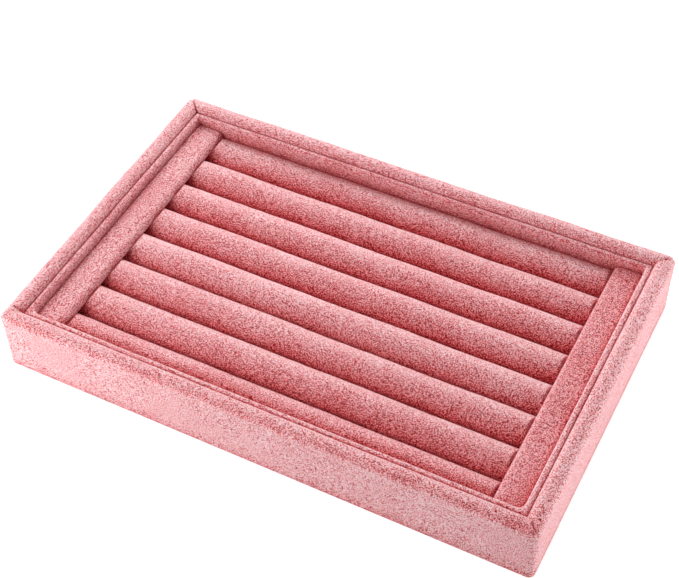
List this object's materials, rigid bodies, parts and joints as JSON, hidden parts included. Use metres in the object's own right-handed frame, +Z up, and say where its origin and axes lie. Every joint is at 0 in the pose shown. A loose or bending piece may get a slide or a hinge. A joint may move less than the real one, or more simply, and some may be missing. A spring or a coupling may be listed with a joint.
{
  "type": "jewelry tray",
  "caption": "Shallow open velvet covered tray with a row of padded rolls between two end bars; the slots between the rolls hold rings upright.",
  "frame": {"origin": "centre of the underside, on the surface that the tray stands on", "axes": "+X along the length to the right, +Y from the front wall to the back wall, +Z up"},
  "size_m": [0.23, 0.1484, 0.0281],
  "materials": {
    "rose_velvet": "short dense pile velvet, matte with a pale sheen",
    "underside_sheet": "thin flocked sheet, matte",
    "fibreboard": "raw medium density fibreboard",
    "grey_card": "raw grey card",
    "foam": "soft open cell foam"
  },
  "bodies": {
    "root": {"base_panel": "fibreboard", "base_sheet": "underside_sheet", "insert_board": "grey_card", "front_rail": "fibreboard", "front_wrap": "rose_velvet", "front_liner_card": "grey_card", "front_liner_cover": "rose_velvet", "right_rail": "fibreboard", "right_wrap": "rose_velvet", "right_liner_card": "grey_card", "right_liner_cover": "rose_velvet", "back_rail": "fibreboard", "back_wrap": "rose_velvet", "back_liner_card": "grey_card", "back_liner_cover": "rose_velvet", "left_rail": "fibreboard", "left_wrap": "rose_velvet", "left_liner_card": "grey_card", "left_liner_cover": "rose_velvet", "left_bar_core": "foam", "left_bar_cover": "rose_velvet", "right_bar_core": "foam", "right_bar_cover": "rose_velvet", "roll_core_1": "foam", "roll_cover_1": "rose_velvet", "roll_core_2": "foam", "roll_cover_2": "rose_velvet", "roll_core_3": "foam", "roll_cover_3": "rose_velvet", "roll_core_4": "foam", "roll_cover_4": "rose_velvet", "roll_core_5": "foam", "roll_cover_5": "rose_velvet", "roll_core_6": "foam", "roll_cover_6": "rose_velvet", "roll_core_7": "foam", "roll_cover_7": "rose_velvet", "roll_core_8": "foam", "roll_cover_8": "rose_velvet"}
  },
  "joints": []
}
